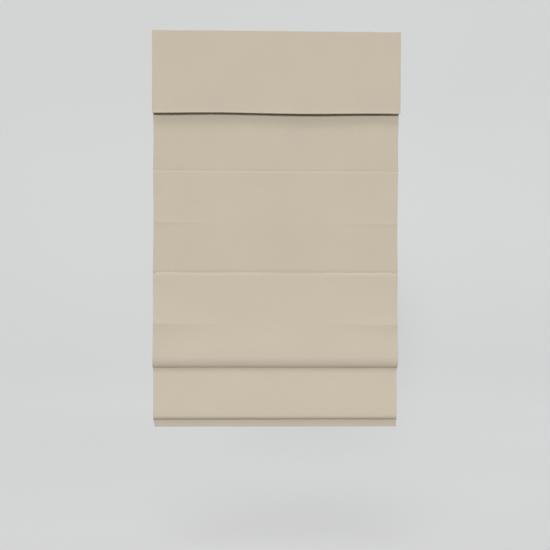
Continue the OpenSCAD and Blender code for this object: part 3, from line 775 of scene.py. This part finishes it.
def fold_forward(x, path):
    """How far the raised fold and the skirt stand forward of their section."""
    z = path[:, 1][:, None]
    soft = ramped(ROD_Z[1] - SOFT_TOP, SOFT_FADE, z)
    soft = soft * np.clip((z - TIER_BOTTOM - SOFT_FOOT) / SOFT_FADE, 0, 1)
    lip = hem_lip(x, PANEL_HALF) * ramped(ROD_Z[1] - LIP_TOP, LIP_FADE, z)
    return UNEVEN * soft * ripple(x, z, FOLD_SEED) + lip


def make_fold():
    """The raised fold's cloth, the stitches of its side hems, and its flat width and length in metres."""
    fine_at = (ROD_Z[1], ROD_Z[2], TIER_BOTTOM, FOLD_BOTTOM, BAR_Z + HEM_TOP)
    path, along = spaced(fold_section(), PATH_STEP, FOLD_FINE, fine_at)
    z = path[:, 1]
    draw = FOLD_DRAW * ramped(ROD_Z[2], FOLD_DRAW_H, z)
    hem = ramped(BAR_Z + HEM_DRAW_TOP, HEM_DRAW_H, z) * (along > 0.5 * along[-1])
    edge = (draw + HEM_DRAW_LEFT * hem, draw + HEM_DRAW_RIGHT * hem)
    grid, across = sheet_grid(path, PANEL_HALF, True, edge, fold_forward, backward(path))
    obj = shell("fold_cloth", grid, SHEET_T, CLOTH, uv_of(across, along))
    skirt = np.abs(path[:, 0] - SKIRT_Y) < SKIRT_NEAR
    keep = skirt & (z < ROD_Z[1] - SKIRT_SEAM_TOP) & (z > BAR_Z + SKIRT_SEAM_FOOT)
    seams = hem_seams("fold_hem_seam", grid[keep], backward(path)[keep])
    return obj, seams, across[-1] * MM, along[-1] * MM


VALANCE_HELD = 30
VALANCE_PAST = 11  # beyond its edges, so that only the last mm are fine
SWAY, SWAY_TURN, SWAY_START = 1.6, 0.0105, 0.6
ROLL_OUT, ROLL_TOP, ROLL_H = 1.1, 10, 7
STRIP_T, STRIP_IN, STRIP_BACK = 0.7, 1.0, 0.85
STRIP_SEAM_IN, STRIP_SEAM_BACK = 4, 0.45
STRIP_TOP, STRIP_FOOT = 40, 27
SEAM_INSET, SEAM_UP, SEAM_BACK = 6, 22, 1.45


def valance_drop(z):
    """The share of the valance's free height that lies above z."""
    free_top = VALANCE_TOP - VALANCE_HELD
    return ramped(free_top, free_top - VALANCE_BOTTOM, z)


def valance_sway(x, z):
    """The slow wave of the valance's free lower edge, in mm."""
    return SWAY * valance_drop(z) ** 2 * np.sin(x * SWAY_TURN + SWAY_START)


def valance_forward(x, path):
    """How far the valance stands forward of its section: unevenness, a slow wave and a rolled lower edge."""
    z = path[:, 1][:, None]
    roll = ramped(VALANCE_BOTTOM + ROLL_TOP, ROLL_H, z)
    rolled = ROLL_OUT * roll ** 2 * (3 - 2 * roll)
    return UNEVEN * np.sqrt(valance_drop(z)) * ripple(x, z, VALANCE_SEED) + valance_sway(x, z) + rolled


def valance_side_hem(side, name):
    """The turned edge down one side of the valance, on its back, with its stitches."""
    outer, inner = VALANCE_HALF - STRIP_IN, VALANCE_HALF - HEM_W
    x = side * np.linspace(inner, outer, 7)[::int(side)]
    z = np.linspace(VALANCE_TOP - STRIP_TOP, VALANCE_BOTTOM + STRIP_FOOT, 60)
    path = np.stack([np.full(len(z), VALANCE_Y), z], axis=-1)
    y = VALANCE_Y + STRIP_BACK - valance_forward(x[None, :], path)
    wide, high = np.broadcast_to(x[None, :], y.shape), np.broadcast_to(z[:, None], y.shape)
    grid = np.stack([wide, y, high], axis=-1)
    uv = uv_of(np.abs(x - x[0]), VALANCE_TOP - z)
    strip = shell(f"valance_hem_{name}", grid, STRIP_T, CLOTH, uv)
    column = int(np.argmin(np.abs(np.abs(x) - inner - STRIP_SEAM_IN)))
    seam = stitch_run(f"valance_hem_seam_{name}", grid[:, column] + (0, STRIP_SEAM_BACK, 0), (0, 1, 0))
    return [strip, seam]


def make_valance():
    """The valance's cloth, and its flat width and length in metres."""
    fine_at = (VALANCE_TOP + VALANCE_PAST, VALANCE_BOTTOM - VALANCE_PAST)
    path, along = spaced(valance_section(), PATH_STEP, VALANCE_FINE, fine_at)
    none = np.zeros(len(path))
    level = np.tile((1.0, 0.0), (len(path), 1))
    grid, across = sheet_grid(path, VALANCE_HALF, False, (none, none), valance_forward, level)
    grid[..., 2] -= valance_sway(grid[..., 0], grid[..., 2])
    obj = shell("valance_cloth", grid, SHEET_T, CLOTH, uv_of(across, along))
    return obj, across[-1] * MM, along[-1] * MM


def valance_seam():
    """The stitches of the valance's lower hem, on its back."""
    x = np.linspace(-VALANCE_HALF + SEAM_INSET, VALANCE_HALF - SEAM_INSET, 120)
    z = np.full(len(x), VALANCE_BOTTOM + SEAM_UP)
    y = VALANCE_Y + SEAM_BACK - valance_forward(x[:, None], np.stack([x, z], axis=-1))[:, 0]
    return stitch_run("valance_seam", np.stack([x, y, z - valance_sway(x, z)], axis=-1), (0, 1, 0))


SLEEVE_R, SLEEVE_OPEN = 3.0, 158
SLEEVE_WAVE, SLEEVE_FINE_X, SLEEVE_FINE_Z = 0.18, 6, 20
TACK_Y, TACK_R, TACK_THREAD_R = CORD_Y - 5.5, 1.9, 0.32
TACK_SHIFTS = (-1.1, -0.4, 0.4, 1.1)


def pocket(number, half):
    """A sleeve of cloth round a rod, sewn to the back of the cloth."""
    centre = (POCKET_Y, ROD_Z[number])
    path = arc(centre, SLEEVE_R, SLEEVE_OPEN, -SLEEVE_OPEN, 28)
    x = np.linspace(-half, half, 120)
    rows = path[:, 1][:, None]
    wave = SLEEVE_WAVE * ripple(x[None, :] * SLEEVE_FINE_X, rows * SLEEVE_FINE_Z, SLEEVE_SEED + number)
    out = (path - centre) / SLEEVE_R
    y = path[:, 0][:, None] + out[:, 0][:, None] * wave
    z = path[:, 1][:, None] + out[:, 1][:, None] * wave
    grid = np.stack([np.broadcast_to(x[None, :], y.shape), y, z], axis=-1)[::-1]
    return shell(f"rod_pocket_{number}", grid, STRIP_T, CLOTH, uv_of(x + half, lengths_along(path)))


def level_seam(name, half, y, z):
    """A straight row of stitches across the back."""
    x = np.linspace(-half, half, 40)
    return stitch_run(name, np.stack([x, np.full(len(x), y), np.full(len(x), z)], axis=-1), (0, 1, 0))


def ring_tacks(number):
    """Turns of thread that hold the two rings of a rod to its pocket."""
    w = np.linspace(0, 2 * math.pi, 25)
    y, z = TACK_Y + TACK_R * np.cos(w), ROD_Z[number] + TACK_R * np.sin(w)
    made = []
    for side, name in ((-1, "left"), (1, "right")):
        turns = [np.stack([np.full(len(w), side * SPOOL_X + shift), y, z], axis=-1) for shift in TACK_SHIFTS]
        made.append(tube(f"ring_tack_{number}_{name}", np.concatenate(turns), TACK_THREAD_R, THREAD, 8))
    return made


panel, panel_seams, panel_w, panel_l = make_panel()
fold, fold_seams, fold_w, fold_l = make_fold()
valance, valance_w, valance_l = make_valance()
UPPER_POCKET_IN, LOWER_POCKET_IN, SEAM_IN = 0.4, 3.4, 4
POCKET_SEAM_UP, POCKET_SEAM_DOWN = 3.6, 3.8
HEM_SEAM_BACK, HEM_SEAM_UP = 1.35, 23
pockets = {}
for number in (1, 2, 3, 4):
    inset = UPPER_POCKET_IN if number > 2 else LOWER_POCKET_IN
    pockets[number] = pocket(number, PANEL_HALF - inset)
upper_half, lower_half = PANEL_HALF - SEAM_IN, PANEL_HALF - 2 * SEAM_IN
rod_seams = {}
for number in (3, 4):
    name, height = f"pocket_seam_{number}", ROD_Z[number] + POCKET_SEAM_UP
    rod_seams[number] = level_seam(name, upper_half, PANEL_Y + STITCH_OFF, height)
rod_seams[1] = level_seam("pocket_seam_1", lower_half, SKIRT_Y + STITCH_OFF, ROD_Z[1] - POCKET_SEAM_DOWN)
hem_seam = level_seam("hem_seam", lower_half, SKIRT_Y + HEM_SEAM_BACK, BAR_Z + HEM_SEAM_UP)
valance_parts = [valance_seam()]
valance_parts += valance_side_hem(-1, "left") + valance_side_hem(1, "right")

ROD_BODY = {1: "lower_fold", 2: "lower_fold", 3: "rod_row_3", 4: "rod_row_4"}


def gather(pieces, body):
    """Rides pieces of the panel on a body, each with a mesh of its own."""
    for piece in pieces:
        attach(piece, body)
        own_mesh(piece)


gather([panel, *panel_seams["low"]], "headrail")
gather(panel_seams["top"], "headrail")
gather(panel_seams["middle"], "rod_row_4")
for piece in (fold, *fold_seams, hem_seam):
    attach(piece, "lower_fold")
for piece in (valance, *valance_parts):
    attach(piece, "headrail")
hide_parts("fabric_panel")
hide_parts("fabric_fold")
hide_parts("valance")
tacks = {number: ring_tacks(number) for number in ROD_BODY}
for number, body in ROD_BODY.items():
    for piece in (pockets[number], *tacks[number]):
        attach(piece, body)
    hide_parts("fabric_fold" if number < 3 else "fabric_panel")
for number, seam in rod_seams.items():
    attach(seam, ROD_BODY[number])
panel_parts = [pockets[3], pockets[4], rod_seams[3], rod_seams[4]]
panel_parts += sum(panel_seams.values(), []) + tacks[3] + tacks[4]


# Lift cords

CORD_R = 0.6
SPOOL_R = 8.45
WOUND_TURNS, WOUND_SHARE = 5, 0.98
CORD_PAST, KNOT_GAP = 0.4, 0.2
KNOT_R, KNOT_LOOP, KNOT_RISE = 1.7, 0.35, 0.9


def make_cord(side, name):
    """The straight cord, the turns that are wound on its spool and the knot that ends it."""
    x = side * SPOOL_X
    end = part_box(f"cord_adjuster_{name}")[0][2] / MM
    path = line((x, CORD_Y, SHAFT_Z), (x, CORD_Y, end - CORD_PAST), 60)
    straight = tube(f"cord_{name}", path, CORD_R, CORD)
    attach(straight, "headrail")
    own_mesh(straight)
    turns = np.linspace(0, 2 * math.pi * WOUND_TURNS, 40 * WOUND_TURNS)
    wound_r = SPOOL_R + CORD_R
    coil = np.stack([x + (turns / (2 * math.pi) - WOUND_TURNS / 2) * 2 * CORD_R,
                     SHAFT_Y + wound_r * np.cos(turns), SHAFT_Z + wound_r * np.sin(turns)], axis=-1)
    wound = tube(f"cord_turns_{name}", coil, CORD_R * WOUND_SHARE, CORD, 10)
    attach(wound, "lift_shaft")
    w = np.linspace(0, 2 * math.pi, 60)
    knot_r = KNOT_R - CORD_R
    loop = np.stack([x + knot_r * (np.cos(w) + KNOT_LOOP * np.cos(2 * w)),
                     CORD_Y + knot_r * (np.sin(w) - KNOT_LOOP * np.sin(2 * w)),
                     end - KNOT_GAP - KNOT_R + KNOT_RISE * np.sin(3 * w)], axis=-1)
    knot = tube(f"cord_knot_{name}", loop, CORD_R, CORD, 10)
    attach(knot, "lower_fold")
    for piece in (straight, wound, knot):
        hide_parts(f"lift_cord_{name}")


make_cord(-1, "left")
make_cord(1, "right")


# Studio

FLOOR_Z = -1.95
FLOOR_R, COVE_R, WALL_TOP = 5.0, 2.5, 5.0
BACKDROP = linear(212, 213, 213)
BACKDROP_GLOW = 0.6
BACKDROP_SIDES = 96
FLOOR_RINGS = (2.0, 3.5)
WORLD_LOW, WORLD_HIGH = 0.15, 0.29


def backdrop_material():
    """Pale paper that keeps part of its brightness in shade, as the camera, gloss or clear plastic see it."""
    n = Nodes("backdrop")
    cloud = n.noise(n.place(), 0.4, 2.0)
    colour = n.ramp(cloud, shade(BACKDROP, 0.97), shade(BACKDROP, 1.03))
    n.set(Base_Color=colour, Roughness=0.9)
    rays = n.add("ShaderNodeLightPath").outputs
    seen = n.math("MAXIMUM", rays["Is Camera Ray"], rays["Is Glossy Ray"])
    seen = n.math("MAXIMUM", seen, rays["Is Transmission Ray"])
    glow = n.add("ShaderNodeEmission", {"Color": colour, "Strength": seen})
    mix = n.add("ShaderNodeMixShader", {"Fac": BACKDROP_GLOW, 1: n.shader.outputs[0], 2: glow.outputs[0]})
    n.put(n.tree.nodes["Material Output"].inputs["Surface"], mix.outputs[0])
    return n.material


def make_backdrop():
    """A pale floor that curves up into a round wall. It neither shades nor tints the blind."""
    cove = np.linspace(0, math.pi / 2, 16)
    profile = [(radius, 0.0) for radius in FLOOR_RINGS]
    profile += [(FLOOR_R + COVE_R * math.sin(w), COVE_R * (1 - math.cos(w))) for w in cove]
    profile.append((FLOOR_R + COVE_R, WALL_TOP - FLOOR_Z))
    around = BACKDROP_SIDES
    points, faces = [], []
    for radius, height in profile:
        for k in range(around):
            w = 2 * math.pi * k / around
            points.append((radius * math.cos(w) / MM, radius * math.sin(w) / MM, (FLOOR_Z + height) / MM))
    for row in range(len(profile) - 1):
        for k in range(around):
            a, b = row * around + k, row * around + (k + 1) % around
            faces.append((a, b, b + around, a + around))
    faces.append(tuple(range(around - 1, -1, -1)))
    floor = mesh_object("backdrop", points, faces, np.zeros((len(points), 2)), backdrop_material())
    floor.visible_diffuse = False
    floor.visible_shadow = False


def soft_light(name, azimuth, elevation, spread, share):
    """A broad, even light. It comes from azimuth, 0 at the front and 90 on the right, and share is what it
    adds to the brightness of an upright surface that faces that azimuth."""
    data = bpy.data.lights.new(name, "SUN")
    data.angle = math.radians(spread)
    data.energy = share * math.pi / math.cos(math.radians(elevation))
    light = bpy.data.objects.new(name, data)
    bpy.context.scene.collection.objects.link(light)
    light.rotation_euler = (math.radians(90 - elevation), 0.0, math.radians(azimuth))


def make_world():
    """Soft light all round, a little stronger from above than from below."""
    world = bpy.data.worlds.new("studio")
    bpy.context.scene.world = world
    world.use_nodes = True
    tree = world.node_tree
    background = tree.nodes["Background"]
    background.inputs["Strength"].default_value = 1.0
    place = tree.nodes.new("ShaderNodeTexCoord")
    split = tree.nodes.new("ShaderNodeSeparateXYZ")
    ramp = tree.nodes.new("ShaderNodeValToRGB")
    height = tree.nodes.new("ShaderNodeMath")
    height.operation = "MULTIPLY_ADD"
    height.inputs[1].default_value = 0.5
    height.inputs[2].default_value = 0.5
    first, last = ramp.color_ramp.elements
    first.color = (WORLD_LOW, WORLD_LOW, WORLD_LOW, 1.0)
    last.color = (WORLD_HIGH, WORLD_HIGH, WORLD_HIGH, 1.0)
    tree.links.new(place.outputs["Generated"], split.inputs["Vector"])
    tree.links.new(split.outputs["Z"], height.inputs[0])
    tree.links.new(height.outputs[0], ramp.inputs["Fac"])
    tree.links.new(ramp.outputs["Color"], background.inputs["Color"])


make_backdrop()
make_world()
soft_light("front", -6, 10, 8, 0.63)
soft_light("above", -10, 52, 24, 0.14)
soft_light("behind", 165, 30, 40, 0.60)
bpy.context.scene.view_settings.view_transform = "Standard"
